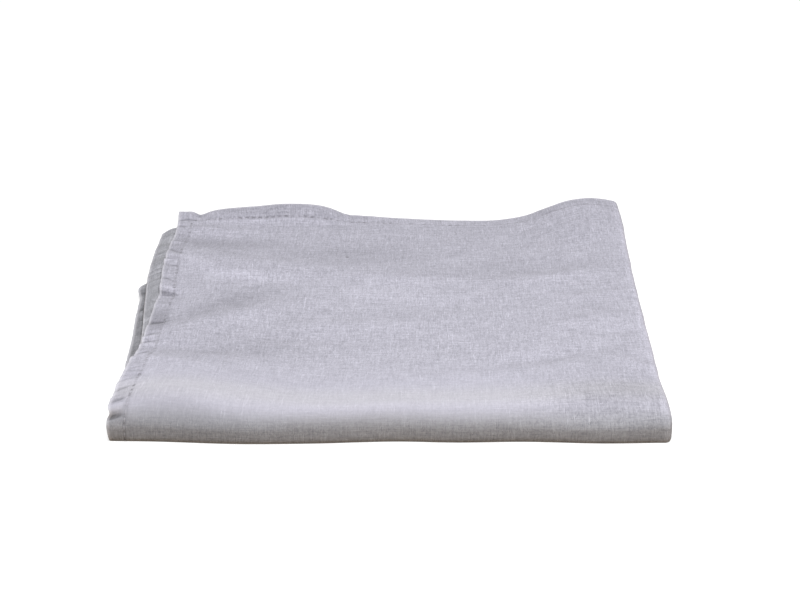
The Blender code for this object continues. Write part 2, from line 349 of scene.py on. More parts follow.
# Columns: start_u, start_v, end_u, end_v, height, half_width.
PUCKERS = {
    "stitch dent in the far corner": (-1, 6.9, 12, 6.4, -0.90, 1.1),
    "second dent in the far corner": (-1, 13, 9, 14.6, -0.70, 1.1),
    "soft ridge below the corner": (-1, 34, 8, 37, 0.35, 1.4),
    "first dent of the fan": (-1, 42, 13, 59, -0.55, 1.5),
    "ridge of the fan": (-1, 50.5, 16, 61, 0.35, 1.5),
    "sharp dent": (-1, 54, 6, 58.8, -0.70, 1.1),
    "ridge below the sharp dent": (-1, 58, 10, 62.5, 0.50, 1.2),
    "dent below that ridge": (0, 61.5, 10, 67, -0.60, 1.3),
    "long slanted dent": (-1, 75.5, 10, 86, -0.50, 1.6),
    "ridge behind the notch": (-1, 86.5, 12, 96, 0.50, 1.7),
    "notch across the hem": (-2, 90.5, 12, 98.5, -1.2, 1.8),
    "light patch on the hem": (-1, 110, 9, 112, 0.45, 3),
    "broad dent on the hem": (-1, 128.5, 11, 130.5, -0.60, 2.4),
    "dent before the ridge": (-1, 143.5, 10, 140.5, -0.55, 1.5),
    "ridge before the crisp dent": (-1, 146.8, 9, 146.4, 0.40, 1.4),
    "crisp dent": (-1, 150.6, 8.5, 149.8, -0.95, 1.2),
    "wide ridge": (-1, 155.5, 10, 153.5, 0.50, 2),
    "steep slanted dent": (-0.5, 174, 7, 157.5, -0.80, 1.5),
    "ridge in front of it": (-1, 180, 8, 172, 0.40, 2),
    "small dent": (1, 189.8, 6.5, 186.5, -0.40, 1),
    "small dent at the seam": (2.5, 191.3, 10, 193, -0.40, 1),
    "long small dent": (0.5, 195, 12, 197.5, -0.35, 1.2),
    "dent at the edge": (-1, 199.8, 6, 199, -0.40, 1.1),
    "broad dent above the corner": (-1, 208.2, 8.5, 204, -0.60, 1.9),
    "soft dent on the turn": (-1, 212.6, 7, 211.8, -0.35, 1.3),
    "crisp dent on the turn": (0.5, 216.2, 7, 213.6, -0.60, 1.2),
    "ridge above the pinch": (-1.5, 220.8, 9, 218.2, 0.55, 1.6),
    "pinch on the corner": (-2, 225, 9.5, 221, -0.85, 1.5),
    "lobe below the pinch": (-1.5, 229.5, 9.5, 226.5, 0.55, 2.8),
    "notch in the far hem": (10.5, -3, 11.5, 9, -0.55, 2.2),
    "notch in the middle of the far hem": (84, -3, 87.5, 9, -0.30, 2.6),
}


def uneven_wave(place, length):
    """A wave along the hem whose length wanders, from -1 to 1."""
    wander = sum(amount * np.sin(place / span + start) for amount, span, start in WANDERS)
    return np.sin(2.0 * np.pi * place / length + wander)


def puckers(place, distance, length, height):
    """How far the seam's pull raises the cloth at a place along a hem and a distance from its edge."""
    short, long = SWELL_LENGTHS
    strength = 1.0 - SWELL + SWELL * np.sin(place / short + 1.0) * np.sin(place / long)
    toward_edge = EDGE_SHARE + (1.0 - EDGE_SHARE) * np.clip(distance / SEAM_INSET, 0.0, 1.0)
    toward_cloth = np.exp(-np.maximum(distance - SEAM_INSET, 0.0) / PUCKER_REACH)
    slant = PUCKER_SLANT * np.cos(np.pi * place / ROLL_STARTS)
    return height * strength * toward_edge * toward_cloth * uneven_wave(place - slant * distance, length)


def pucker(u, v, row):
    """Height that one pucker adds, along a straight line on the flat cloth."""
    start_u, start_v, end_u, end_v, height, half_width = row
    length = math.hypot(end_u - start_u, end_v - start_v)
    along_u = (end_u - start_u) / length
    along_v = (end_v - start_v) / length
    forward = (u - start_u) * along_u + (v - start_v) * along_v
    sideways = (v - start_v) * along_u - (u - start_u) * along_v
    fade = ease((length - forward) / (FADING_SHARE * length)) * ease(forward / EDGE_FADE + 1.0)
    return height * fade * bell(sideways, half_width)


print("puckers placed by hand:", len(PUCKERS))

# %% [markdown]
# Between the creases the cloth is never quite smooth. A couple of dozen shallow waves, laid over each other
# in directions and lengths drawn from a fixed seed, give that rumple. Most of their crests follow the weft,
# as the wrinkles of a folded napkin do. Two more rules are needed here: the stiff hem draws the left edge
# in where it bends round the near fold, and the hem is thicker than the plain cloth.

# %% Rumple and relief
RUMPLE_SEED = 11
RUMPLE_WAVES = 26
RUMPLE_HEIGHT = 0.06
RUMPLE_LENGTHS = (12.0, 46.0)
RUMPLE_SPREAD = 0.7

# Columns: v, half_width, amount.
EDGE_PULLS = (
    (211, 3, 0.4),
    (221.8, 1.6, 1.1),
    (239, 5.5, 3),
    (249, 7, 1.8),
)
EDGE_PULL_REACH = 6.0


def rumple(u, v):
    """Soft unevenness of the whole cloth."""
    draw = np.random.default_rng(RUMPLE_SEED)
    total = np.zeros(np.broadcast(u, v).shape)
    for _ in range(RUMPLE_WAVES):
        length = draw.uniform(*RUMPLE_LENGTHS)
        turn = draw.normal(0.0, RUMPLE_SPREAD)
        start = draw.uniform(0.0, 2.0 * np.pi)
        total = total + np.sin(2.0 * np.pi * (v * np.cos(turn) + u * np.sin(turn)) / length + start)
    return RUMPLE_HEIGHT * total / math.sqrt(RUMPLE_WAVES / 2.0)


def hem_distance(u, v):
    """Distance to the nearest edge of the flat cloth."""
    return np.minimum(np.minimum(u, FLAT - u), np.minimum(v, FLAT - v))


def in_hem(u, v):
    """1 in the hem and 0 in the plain cloth, with a step between them."""
    return ease((HEM_WIDTH + HEM_STEP - hem_distance(u, v)) / HEM_STEP)


def relief(u, v):
    """How far the whole sheet stands out from its fold, in millimetres."""
    side = np.minimum(u, FLAT - u)
    end = np.minimum(v, FLAT - v)
    hidden = (u > FLAT / 2.0) | (v > ROLL_ENDS)
    hidden_height = np.where(v > ROLL_ENDS, LOWER_PUCKER_HEIGHT, HIDDEN_PUCKER_HEIGHT)
    side_height = np.where(hidden, hidden_height, TOP_PUCKER_HEIGHT)
    side_length = np.where(hidden, HIDDEN_PUCKER_LENGTH, PUCKER_LENGTH)
    height = puckers(v + HIDDEN_WAVE_SHIFT * hidden, side, side_length, side_height)
    height = height + puckers(u + FAR_WAVE_SHIFT, end, FAR_PUCKER_LENGTH, FAR_PUCKER_HEIGHT)
    dip = np.where(end < side, FAR_SEAM_DIP, SEAM_DIP)
    height = height - dip * bell(hem_distance(u, v) - SEAM_INSET, SEAM_DIP_WIDTH)
    height = height + HEM_RISE * in_hem(u, v)
    for row in PUCKERS.values():
        height = height + PUCKER_STRENGTH * pucker(u, v, row)
    return height + rumple(u, v)


def edge_pull(u, v):
    """How far the left edge is drawn in at the near corner, where the hem bends round the fold."""
    pull = 0.0
    for place, half_width, amount in EDGE_PULLS:
        pull = pull + amount * bell(v - place, half_width)
    return pull * bell(u, EDGE_PULL_REACH)


def thickness(u, v):
    """Thickness of the sheet: twice folded in the hem, and round at its edge."""
    full = PLAIN_THICKNESS + (HEM_THICKNESS - PLAIN_THICKNESS) * in_hem(u, v)
    inward = 1.0 - np.clip(hem_distance(u, v) / (full / 2.0), 0.0, 1.0)
    return full * np.sqrt(1.0 - inward**2)


print("hem thickness in mm:", float(thickness(np.array(4.0), np.array(100.0))))

# %% [markdown]
# These soft ovals are painted light and shade. They lighten the cloth where slopes of the folds face the
# light and at the foot of the near fold. They darken it in the dips, on the near fold's shoulders and on the
# curled far hem. Each has its place on the flat cloth, its half length and half width, the turn of its length
# in degrees, and how much it lightens or darkens the cloth. The mesh carries their sum as an attribute.

# %% Painted light and shade patches
PATCH_REACH = 1.25

# Columns: u, v, half_length, half_width, turn, change.
PAINTED_LIGHT_PATCHES = {
    "dark behind the left fan": (24, 35, 32, 13, 8, -0.18),
    "light into the fan": (13, 60, 20, 5, 52, 0.10),
    "light along the fan": (42, 80, 32, 7, 2, 0.12),
    "dark dip in front of the fan": (33, 112, 38, 13, -42, -0.20),
    "left middle": (42, 156, 44, 26, 0, -0.08),
    "dark dip before the near fold": (42, 165, 38, 9, -6, -0.07),
    "dark far middle": (88, 45, 44, 16, 4, -0.12),
    "dark far right": (165, 70, 48, 14, 0, -0.08),
    "far right corner": (196, 24, 30, 20, 0, -0.05),
    "light middle": (106, 98, 48, 20, 0, 0.09),
    "light line to the right fold": (198, 87, 26, 4.5, -6, 0.05),
    "second light line to the right": (180, 169, 26, 4.5, -14, 0.05),
    "dark line at the near right": (188, 170, 26, 9, -12, -0.06),
    "near right": (196, 192, 44, 16, 0, -0.04),
    "right shoulder": (206, 211, 40, 16, 0, -0.19),
    "dark middle of the left hem": (4, 124, 9, 20, 0, -0.23),
    "left shoulder": (16, 216, 34, 7, 9, -0.12),
    "left front": (32, 225, 46, 8, 0, -0.13),
    "near left corner of the hem": (3, 229, 6, 9, 0, 0.07),
    "foot of the near fold": (112, 238, 150, 5, 0, 0.14),
    "curled far hem": (54, 3.5, 38, 5.5, 0, -0.13),
    "foot of the curled hem": (74, 11, 38, 5, 0, -0.06),
    "flat far hem": (130, 3.5, 46, 6, 0, 0.13),
}


def painted_light_and_shade(u, v):
    """How much painted light and shade lightens or darkens the cloth at a place."""
    total = np.zeros(np.broadcast(u, v).shape)
    for place_u, place_v, half_length, half_width, turn, change in PAINTED_LIGHT_PATCHES.values():
        cosine, sine = math.cos(math.radians(turn)), math.sin(math.radians(turn))
        lengthways = ((u - place_u) * cosine + (v - place_v) * sine) / half_length
        sideways = ((v - place_v) * cosine - (u - place_u) * sine) / half_width
        total = total + change * ease(1.0 - np.hypot(lengthways, sideways) / PATCH_REACH)
    return total


print("change in the dip by the left fan:", round(float(painted_light_and_shade(np.array(33.0), np.array(109.0))), 3))

# %% [markdown]
# Now the folding itself. A place on the flat cloth says how far across the layer it is, how far round the
# right fold, how far along the top, and how far round the near fold. The tables then say where that lands.
# The visible faces lie on the solid's faces, and because real linen is thinner than the solid's sheet, the
# spare thickness comes off the hidden side.

# %% Fold the flat cloth
OUTER = 0.5
INNER = -0.5


def fold_steps(u, v):
    """Shares of the fold at a place on the flat cloth: across, loop, top_run, turn and bottom_run."""
    half = (FLAT - FOLD_TAKES) / 2.0
    across = np.where(u < FLAT / 2.0, 1.0 - u / half, (u - half - FOLD_TAKES) / half)
    across = np.clip(across, 0.0, 1.0)
    loop = np.pi * np.clip((u - half) / FOLD_TAKES, 0.0, 1.0)
    top_run = np.clip(v / ROLL_STARTS, 0.0, 1.0)
    round_roll = np.interp(v, (ROLL_STARTS, ROLL_FRONT, ROLL_ENDS), (0.0, np.pi / 2.0, np.pi))
    bottom_run = np.clip((v - ROLL_ENDS) / (FLAT - ROLL_ENDS), 0.0, 1.0)
    return across, loop, top_run, round_roll, bottom_run


def even_turn(round_roll, roundness):
    """Turn of the sheet at an even step round the roll, which is boxier where roundness is under 1."""
    forward = np.abs(np.sin(round_roll)) ** (1.0 / roundness)
    upward = np.abs(np.cos(round_roll)) ** (1.0 / roundness)
    turn = np.arctan2(forward, upward)
    return np.where(round_roll > np.pi / 2.0, np.pi - turn, turn)


def roll(turn, roundness):
    """Forward and upward shares of the near fold's roll, at a turn from 0 on top to pi at the foot."""
    forward = np.abs(np.sin(turn)) ** roundness
    upward = np.sign(np.cos(turn)) * np.abs(np.cos(turn)) ** roundness
    return forward, upward


def pair_spacing(height, share):
    """Distance between the middles of a pair's two layers, under a top face at this height."""
    air = height - 4.0 * SOLID_SHEET - 3.0 * LEAST_GAP
    return SOLID_SHEET + LEAST_GAP + share * np.maximum(air, 0.0)


def place_on_fold(u, v, side):
    """Where a place on the flat cloth lies, in millimetres, on the face that side says: OUTER or INNER."""
    across, loop, top_run, round_roll, bottom_run = fold_steps(u, v)
    inner = loop / np.pi
    rough_x = SECTION_X[-1] - across * (SECTION_X[-1] - SECTION_X[0])

    def far_edge(outer_name, inner_name):
        outer_y = column(FAR_EDGES, FAR_EDGE_COLUMNS, outer_name, rough_x)
        inner_y = column(FAR_EDGES, FAR_EDGE_COLUMNS, inner_name, rough_x)
        return outer_y + inner * (inner_y - outer_y)

    def near_fold(name):
        return column(NEAR_FOLD, NEAR_FOLD_COLUMNS, name, rough_x)

    upper_half = round_roll < np.pi / 2.0
    roundness = np.where(upper_half, near_fold("top_roundness"), near_fold("foot_roundness"))
    turn = even_turn(round_roll, roundness)
    forward, upward = roll(turn, roundness)
    lower = turn / np.pi
    on_top = top_run < 1.0
    on_bottom = bottom_run > 0.0

    turn_y = near_fold("top_turn")
    foot_y = near_fold("foot")
    roll_start = np.where(upper_half, turn_y, foot_y)
    near_y = roll_start + forward * (near_fold("front") - roll_start)
    far_top = far_edge("far_1", "far_2")
    far_bottom = far_edge("far_4", "far_3")
    y = np.where(on_top, far_top + top_run * (turn_y - far_top), near_y)
    y = np.where(on_bottom, foot_y + bottom_run * (far_bottom - foot_y), y)

    def side_edge(outer_name, inner_name):
        outer_x = column(SIDES, SIDE_COLUMNS, outer_name, y)
        inner_x = column(SIDES, SIDE_COLUMNS, inner_name, y)
        return outer_x + inner * (inner_x - outer_x)

    left_top = side_edge("left_1", "left_2")
    left_bottom = side_edge("left_4", "left_3")
    right_top = side_edge("right_top", "right_top")
    right_bottom = side_edge("right_bottom", "right_bottom")
    left = left_top + lower * (left_bottom - left_top)
    right = right_top + lower * (right_bottom - right_top)

    height = top_height(right - across * (right - left), y)
    top_pair = pair_spacing(height, TOP_PAIR_AIR)
    bottom_pair = pair_spacing(height, BOTTOM_PAIR_AIR)
    spacing = top_pair + ease(lower) * (bottom_pair - top_pair)
    fold_middle = right - (spacing + SOLID_SHEET) / 2.0
    x = fold_middle - across * (fold_middle - left)

    top_middle = height - (SOLID_SHEET + top_pair) / 2.0
    bottom_middle = (SOLID_SHEET + bottom_pair) / 2.0
    roll_middle = bottom_middle + near_fold("front_share") * (top_middle - bottom_middle)
    roll_half = np.where(upper_half, top_middle - roll_middle, roll_middle - bottom_middle)
    z = np.where(on_top, top_middle, roll_middle + upward * roll_half)
    z = np.where(on_bottom, bottom_middle, z)

    sheet = thickness(u, v)
    underside = ease(lower) * (1.0 - inner)
    stands_out = relief(u, v) * (1.0 - underside)
    outermost = (spacing + SOLID_SHEET) / 2.0
    radius = outermost + stands_out + (side - OUTER) * sheet
    out_of_pair = radius * np.cos(loop)
    y = y + np.sin(turn) * (outermost - out_of_pair)
    z = z + np.cos(turn) * out_of_pair
    x = x + radius * np.sin(loop) + edge_pull(u, v)
    z = np.maximum(z, 0.0)
    return np.stack((x, y, z), axis=-1) - np.array(FOOTPRINT_MIDDLE)


print("near left corner in mm:", place_on_fold(np.array(0.0), np.array(ROLL_FRONT), OUTER).round(1))

# %% [markdown]
# The mesh is a grid on the flat cloth. Its lines are close where the shape is fine, at the round edge, over
# the hem and round the folds, and wide apart where layers are hidden. Both faces of the cloth share their
# rim, so the sheet is closed. A UV map holds the flat place itself, in metres, which is what the weave will
# follow.

# %% Grid of the cloth
# Columns: length, step.
ACROSS_STRETCHES = (
    (0.7, 0.23),
    (11.3, 0.80),
    (208, 3.4),
    (FOLD_TAKES, 1),
    (208, 6),
    (11.3, 1.25),
    (0.7, 0.23),
)
ALONG_STRETCHES = (
    (0.7, 0.23),
    (11.3, 0.95),
    (199, 0.86),
    (26, 0.90),
    (201, 2.8),
    (11.3, 1.25),
    (0.7, 0.23),
)


def grid_lines(stretches):
    """Places of the grid's lines, stretch by stretch."""
    places = [0.0]
    for length, step in stretches:
        start = places[-1]
        count = round(length / step)
        places.extend(start + length * (number + 1) / count for number in range(count))
    return np.array(places).clip(0.0, FLAT)


def sheet_quads(columns, rows):
    """Quads of the closed sheet, whose two faces share their rim."""
    outer = np.arange(columns * rows).reshape(columns, rows)
    inside = np.arange((columns - 2) * (rows - 2)).reshape(columns - 2, rows - 2)
    inner = outer.copy()
    inner[1:-1, 1:-1] = columns * rows + inside
    quads = []
    for grid, order in ((outer, 1), (inner, -1)):
        corners = np.stack((grid[:-1, :-1], grid[:-1, 1:], grid[1:, 1:], grid[1:, :-1]), axis=-1)
        quads.extend(corners.reshape(-1, 4)[:, ::order].tolist())
    return quads


def on_both_faces(outer, inner):
    """Values for the sheet's vertices: the outer face with its rim, then the rest of the inner face."""
    return np.concatenate([grid.reshape(-1, *grid.shape[2:]) for grid in (outer, inner[1:-1, 1:-1])])


across_lines = grid_lines(ACROSS_STRETCHES)
along_lines = grid_lines(ALONG_STRETCHES)
grid_u, grid_v = np.meshgrid(across_lines, along_lines, indexing="ij")
print("grid lines:", len(across_lines), "by", len(along_lines))

# %% Build the cloth
def build_cloth():
    """The folded cloth as one closed, smooth mesh with its flat places as a UV map."""
    points = on_both_faces(*(place_on_fold(grid_u, grid_v, side) * MM for side in (OUTER, INNER)))
    mesh = bpy.data.meshes.new("napkin_cloth")
    mesh.from_pydata(points.tolist(), [], sheet_quads(*grid_u.shape))
    corners = np.empty(len(mesh.loops), np.int32)
    mesh.loops.foreach_get("vertex_index", corners)
    flat = np.stack((grid_u, grid_v), axis=-1) * MM
    flat_map = mesh.uv_layers.new(name="flat_cloth")
    flat_map.uv.foreach_set("vector", on_both_faces(flat, flat)[corners].astype(np.float32).ravel())
    # The second attribute holds the painted light and shade patches.
    for name, rule in (("standing_out", relief), ("painted_light_and_shade", painted_light_and_shade)):
        values = rule(grid_u, grid_v)
        attribute = mesh.attributes.new(name, "FLOAT", "POINT")
        attribute.data.foreach_set("value", on_both_faces(values, values).astype(np.float32))
    mesh.shade_smooth()
    return add_object("napkin_cloth", mesh)


napkin_cloth = build_cloth()
print("cloth quads:", len(napkin_cloth.data.polygons))

# %% [markdown]
# The hem is sewn with a running row of short stitches in thread of the cloth's own colour, on both faces.
# They repeat about a thousand times, so Geometry Nodes lay them: a line along the seam is resampled at the
# stitch's pitch, and one small spindle is placed at each point, turned along the line. The line carries the
# cloth's normal, so that each stitch also lies flat on the cloth. Under the near fold a stitch could dip
# below the table, so any point that does is lifted to it.

# %% Line of the seam
STITCH_LENGTH = 2.4
STITCH_GAP = 0.9
THREAD_THICKNESS = 0.28
SEAM_STEP = 1.0
THREAD_LIFT = 0.15


def seam_places():
    """Flat places along the seam, once round the cloth."""
    run = np.arange(SEAM_INSET, FLAT - SEAM_INSET, SEAM_STEP)
    near_edge = np.full(run.shape, SEAM_INSET)
    far_edge = np.full(run.shape, FLAT - SEAM_INSET)
    u = np.concatenate((near_edge, run, far_edge, run[::-1]))
    v = np.concatenate((run, far_edge, run[::-1], near_edge))
    return u, v


def build_seam_line(name, side):
    """A line of vertices on one face of the cloth, with the face's normal at each."""
    u, v = seam_places()
    here = place_on_fold(u, v, side)
    outward = here - place_on_fold(u, v, -side)
    normal = outward / np.linalg.norm(outward, axis=1, keepdims=True)
    points = (here + normal * THREAD_THICKNESS * THREAD_LIFT) * MM
    points[:, 2] = np.maximum(points[:, 2], THREAD_THICKNESS * MM / 2.0)
    edges = [(number, number + 1) for number in range(len(points) - 1)]
    mesh = bpy.data.meshes.new(name)
    mesh.from_pydata(points.tolist(), edges, [])
    out = mesh.attributes.new("cloth_normal", "FLOAT_VECTOR", "POINT")
    out.data.foreach_set("vector", normal.astype(np.float32).ravel())
    return add_object(name, mesh)


seam_lines = [build_seam_line("seam_line_outer", OUTER), build_seam_line("seam_line_inner", INNER)]
print("seam line points:", [len(line.data.vertices) for line in seam_lines])

# %% [markdown]
# Node trees are easier to read when each node is made in one short line. The first two helpers add a node
# with its settings and its inputs, where an input is a plain value, an output, or a node whose first output
# is meant. The others start and end a group of nodes, and make a material.

# %% Helpers for node trees
SOCKET_KINDS = {float: "NodeSocketFloat", tuple: "NodeSocketVector", type(None): "NodeSocketGeometry"}


def set_input(socket, value):
    """Links an output, or a node's first output, into a socket, or sets the socket's own value."""
    if isinstance(value, bpy.types.Node):
        value = value.outputs[0]
    if isinstance(value, bpy.types.NodeSocket):
        socket.id_data.links.new(value, socket)
    else:
        socket.default_value = value


def add_node(tree, kind, inputs=None, **settings):
    """A node of this kind with its settings and inputs, which are named or numbered."""
    node = tree.nodes.new(kind)
    for name, value in settings.items():
        setattr(node, name, value)
    for key, value in (inputs or {}).items():
        set_input(node.inputs[key], value)
    return node


def start_group(name, kind, inputs):
    """A node tree with named inputs. A number makes a float, three make a vector, and None takes geometry."""
    tree = bpy.data.node_groups.new(name, kind)
    for socket_name, value in inputs.items():
        socket_type = SOCKET_KINDS[type(value)]
        socket = tree.interface.new_socket(socket_name, in_out="INPUT", socket_type=socket_type)
        if value is not None:
            socket.default_value = value
    return tree, tree.nodes.new("NodeGroupInput").outputs


def end_group(tree, outputs, socket_type="NodeSocketFloat"):
    """Gives the tree its named outputs, each linked to its value."""
    for name in outputs:
        tree.interface.new_socket(name, in_out="OUTPUT", socket_type=socket_type)
    result = tree.nodes.new("NodeGroupOutput")
    for name, value in outputs.items():
        set_input(result.inputs[name], value)
    return tree


def new_material(name, values):
    """A material with plain values on its shader, its node tree and that shader."""
    material = bpy.data.materials.new(name)
    material.use_nodes = True
    shader = material.node_tree.nodes["Principled BSDF"]
    for key, value in values.items():
        shader.inputs[key].default_value = value
    return material, material.node_tree, shader


print("helpers ready")

# %% Stitches by Geometry Nodes
SPINDLE_SEGMENTS = 6
SPINDLE_RINGS = 5


def build_stitch_tree(thread):
    """Lays one spindle of thread at each step of a seam line."""
    tree, given = start_group(
        "running stitch",
        "GeometryNodeTree",
        {"Seam line": None, "Stitch length": 0.002, "Gap": 0.001, "Thread thickness": 0.0003},
    )
    length, thick = given["Stitch length"], given["Thread thickness"]
    pitch = add_node(tree, "ShaderNodeMath", {0: length, 1: given["Gap"]}, operation="ADD")
    curve = add_node(tree, "GeometryNodeMeshToCurve", {"Mesh": given["Seam line"]})
    steps = add_node(tree, "GeometryNodeResampleCurve", {"Curve": curve, "Length": pitch}, mode="LENGTH")
    tangent = add_node(tree, "GeometryNodeInputTangent")
    wanted = {"Name": "cloth_normal"}
    normal = add_node(tree, "GeometryNodeInputNamedAttribute", wanted, data_type="FLOAT_VECTOR")
    turn = "FunctionNodeAlignRotationToVector"
    forward = add_node(tree, turn, {"Vector": tangent}, axis="X")
    facing = add_node(tree, turn, {"Rotation": forward, "Vector": normal}, axis="Z", pivot_axis="X")
    counts = {"Segments": SPINDLE_SEGMENTS, "Rings": SPINDLE_RINGS}
    ball = add_node(tree, "GeometryNodeMeshUVSphere", {**counts, "Radius": 0.5})
    size = add_node(tree, "ShaderNodeCombineXYZ", {"X": length, "Y": thick, "Z": thick})
    places = {"Points": steps, "Instance": ball, "Rotation": facing, "Scale": size}
    spindles = add_node(tree, "GeometryNodeInstanceOnPoints", places)
    smooth = add_node(tree, "GeometryNodeSetShadeSmooth", {"Geometry": spindles})
    real = add_node(tree, "GeometryNodeRealizeInstances", {"Geometry": smooth})
    finished = add_node(tree, "GeometryNodeSetMaterial", {"Geometry": real, "Material": thread})
    return end_group(tree, {"Stitches": finished}, "NodeSocketGeometry")


def run_tree(line, tree, sizes):
    """The mesh that the tree makes from a line, with its inputs set by the sockets' identifiers."""
    modifier = line.modifiers.new("stitches", "NODES")
    modifier.node_group = tree
    sockets = {item.name: item.identifier for item in tree.interface.items_tree if item.in_out == "INPUT"}
    for name, value in sizes.items():
        modifier[sockets[name]] = value
    graph = bpy.context.evaluated_depsgraph_get()
    mesh = bpy.data.meshes.new_from_object(line.evaluated_get(graph))
    bpy.data.objects.remove(line, do_unlink=True)
    return mesh


def build_stitches(thread):
    """All stitches of the hem, on both faces, as one object."""
    tree = build_stitch_tree(thread)
    sizes = {
        "Stitch length": STITCH_LENGTH * MM,
        "Gap": STITCH_GAP * MM,
        "Thread thickness": THREAD_THICKNESS * MM,
    }
    whole = bmesh.new()
    for line in seam_lines:
        whole.from_mesh(run_tree(line, tree, sizes))
    for vertex in whole.verts:
        vertex.co.z = max(vertex.co.z, 0.0)
    joined = bpy.data.meshes.new("hem_stitches")
    whole.to_mesh(joined)
    whole.free()
    joined.materials.append(thread)
    joined.shade_smooth()
    return add_object("hem_stitches", joined)

# %% [markdown]
# Linen is a plain weave: each warp yarn goes over one weft yarn and under the next. Flax yarns are uneven,
# so some are thick and light for a centimetre or two, which are the slubs that make linen look like linen.
# The group works on the flat place of the cloth. It finds the yarns that cross there, which of them is on
# top, and how round it is, and gives each yarn its own thick and thin stretches from a noise that is long
# along the yarn. Each short stretch of a yarn also gets a random shade of its own, which is the grain one
# sees from close by.

# %% Weave group
NOWHERE = (0.0, 0.0, 0.0)
YARN_PITCH = 0.41
YARN_WANDER = 1.8
BEND_SCALE = 0.09
YARN_STRIDE = 3.71
THICK_RATE = 0.055
GRAIN_RATE = 0.42
GRAIN_SHIFT = 0.618
WEFT_GRAIN_SHARE = 0.36
THICK_STANDS_OUT = (1.2, 0.4)
WARP_SLUBS = (0.62, 0.78)
WEFT_SLUBS = (0.66, 0.82)
GAP_RANGE = (0.35, 0.05)
SEEDS = {"warp grain": 2.3, "weft grain": 7.9, "warp shade": 5.3, "weft shade": 41.7}


def work_out(kind, inputs, **settings):
    """A node in the tree that its linked inputs come from."""
    linked = [value for value in inputs.values() if isinstance(value, (bpy.types.NodeSocket, bpy.types.Node))]
    return add_node(linked[0].id_data, kind, inputs, **settings)


def add_math(operation, *values):
    """The result of one Math node."""
    return work_out("ShaderNodeMath", dict(enumerate(values)), operation=operation).outputs[0]


def add_vector_math(operation, first, second):
    """The vector that one Vector Math node makes. A scale has an input of its own."""
    inputs = {0: first, ("Scale" if operation == "SCALE" else 1): second}
    return work_out("ShaderNodeVectorMath", inputs, operation=operation).outputs[0]


def add_blend(factor, first, second):
    """Two numbers mixed by a factor."""
    return work_out("ShaderNodeMix", {"Factor": factor, "A": first, "B": second}).outputs[0]


def add_noise(place, detail=2.0, scale=1.0):
    """A noise value from 0 to 1 at a place."""
    return work_out("ShaderNodeTexNoise", {"Vector": place, "Scale": scale, "Detail": detail}).outputs["Fac"]


def add_ramp(value, start, end, low=0.0, high=1.0):
    """A value carried from one range to another with soft ends."""
    ranges = {"Value": value, "From Min": start, "From Max": end, "To Min": low, "To Max": high}
    return work_out("ShaderNodeMapRange", ranges, interpolation_type="SMOOTHSTEP").outputs["Result"]


def yarn_roundness(place):
    """How high a round yarn stands at a place that counts the yarns."""
    beside = add_math("SUBTRACT", add_math("FRACT", place), 0.5)
    return add_math("COSINE", add_math("MULTIPLY", beside, math.pi))


def yarn_height(yarn, crossed):
    """Height of a yarn that arches over the one it crosses."""
    return add_math("MULTIPLY", yarn, add_math("MULTIPLY_ADD", crossed, 0.5, 0.5))


def yarn_shade(yarn, along_yarn, seed):
    """The thick and thin stretches of the yarns that run one way."""
    index = add_math("MULTIPLY_ADD", yarn, YARN_STRIDE, seed)
    run = add_math("MULTIPLY", along_yarn, THICK_RATE)
    return add_noise(work_out("ShaderNodeCombineXYZ", {"X": index, "Y": run, "Z": seed}))


def crossing_shade(yarn, along_yarn, seed):
    """A random shade for each short stretch of a yarn, a crossing or two long."""
    start = add_math("MULTIPLY", yarn, GRAIN_SHIFT)
    stretch = add_math("FLOOR", add_math("MULTIPLY_ADD", along_yarn, GRAIN_RATE, start))
    place = work_out("ShaderNodeCombineXYZ", {"X": yarn, "Y": stretch, "Z": seed})
    return work_out("ShaderNodeTexWhiteNoise", {"Vector": place}, noise_dimensions="3D").outputs[0]


def build_weave_group():
    """Height, shade, slubs, grain and painted shade in the gaps of a plain weave on the flat cloth."""
    inputs = {"Flat place": NOWHERE, "Yarn pitch": YARN_PITCH * MM, "Wander": YARN_WANDER}
    tree, given = start_group("linen weave", "ShaderNodeTree", inputs)
    per_metre = add_math("DIVIDE", 1.0, given["Yarn pitch"])
    counted = add_vector_math("SCALE", given["Flat place"], per_metre)
    bent = add_node(tree, "ShaderNodeTexNoise", {"Vector": counted, "Scale": BEND_SCALE, "Detail": 2.0})
    centred = add_vector_math("SUBTRACT", bent.outputs["Color"], (0.5, 0.5, 0.5))
    shift = add_vector_math("SCALE", centred, given["Wander"])
    split = add_node(tree, "ShaderNodeSeparateXYZ", {"Vector": add_vector_math("ADD", counted, shift)})
    across, forward = split.outputs["X"], split.outputs["Y"]

    warp, weft = (add_math("FLOOR", place) for place in (across, forward))
    weft_on_top = add_math("FLOORED_MODULO", add_math("ADD", warp, weft), 2.0)
    warp_round, weft_round = (yarn_roundness(place) for place in (across, forward))
    warp_height = yarn_height(warp_round, weft_round)
    weft_height = yarn_height(weft_round, warp_round)

    warp_grain = crossing_shade(warp, forward, SEEDS["warp grain"])
    weft_grain = crossing_shade(weft, across, SEEDS["weft grain"])
    warp_shade = yarn_shade(warp, forward, SEEDS["warp shade"])
    weft_shade = yarn_shade(weft, across, SEEDS["weft shade"])
    top_shade = add_blend(weft_on_top, warp_shade, weft_shade)
    both = add_math("MULTIPLY", add_math("ADD", warp_shade, weft_shade), 0.5)
    shade = add_math("MULTIPLY", add_math("ADD", top_shade, both), 0.5)
    top_height = add_blend(weft_on_top, warp_height, weft_height)
    stands_out = add_math("MULTIPLY_ADD", shade, *THICK_STANDS_OUT)
    warp_slub = add_ramp(warp_shade, *WARP_SLUBS)
    weft_slub = add_ramp(weft_shade, *WEFT_SLUBS)
    outputs = {
        "Height": add_math("MULTIPLY", top_height, stands_out),
        "Yarn shade": shade,
        "Slub": add_math("MAXIMUM", warp_slub, weft_slub),
        "Grain": add_blend(WEFT_GRAIN_SHARE, warp_grain, weft_grain),
        # Painted shade in the gaps between yarns.
        "Shade between yarns": add_ramp(top_height, *GAP_RANGE),
    }
    return end_group(tree, outputs)


